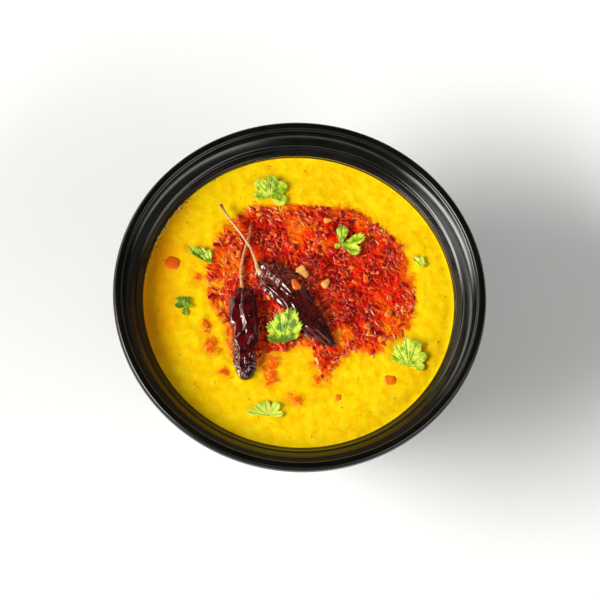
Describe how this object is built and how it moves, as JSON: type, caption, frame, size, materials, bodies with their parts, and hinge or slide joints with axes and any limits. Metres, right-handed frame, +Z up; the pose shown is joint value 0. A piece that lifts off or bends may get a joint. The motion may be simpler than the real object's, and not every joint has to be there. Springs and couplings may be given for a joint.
{
  "type": "bowl of dal",
  "caption": "Yellow dal in a round black glazed bowl, topped with red tempering oil, dried red chillies and coriander leaves.",
  "frame": {"origin": "centre of the foot ring's underside, where the bowl stands on a table", "axes": "+Z up through the middle of the bowl; -Y towards the person it is served to, with the chillies on the left; +X to their right"},
  "size_m": [0.16, 0.16, 0.06],
  "materials": {
    "glaze": "gloss black glaze",
    "dal": "thick, slightly lumpy yellow lentil soup, wet gloss, with red oil and fried spices on it",
    "chilli": "dried and fried skin, wrinkled, oily gloss, near black",
    "coriander": "fresh leaf, satin"
  },
  "bodies": {
    "root": {"bowl": "glaze", "dal": "dal", "chilli_1": "chilli", "chilli_2": "chilli", "leaf_1": "coriander", "leaf_2": "coriander", "leaf_3": "coriander", "leaf_4": "coriander", "leaf_5": "coriander", "leaf_6": "coriander", "leaf_7": "coriander", "leaf_8": "coriander"}
  },
  "joints": []
}
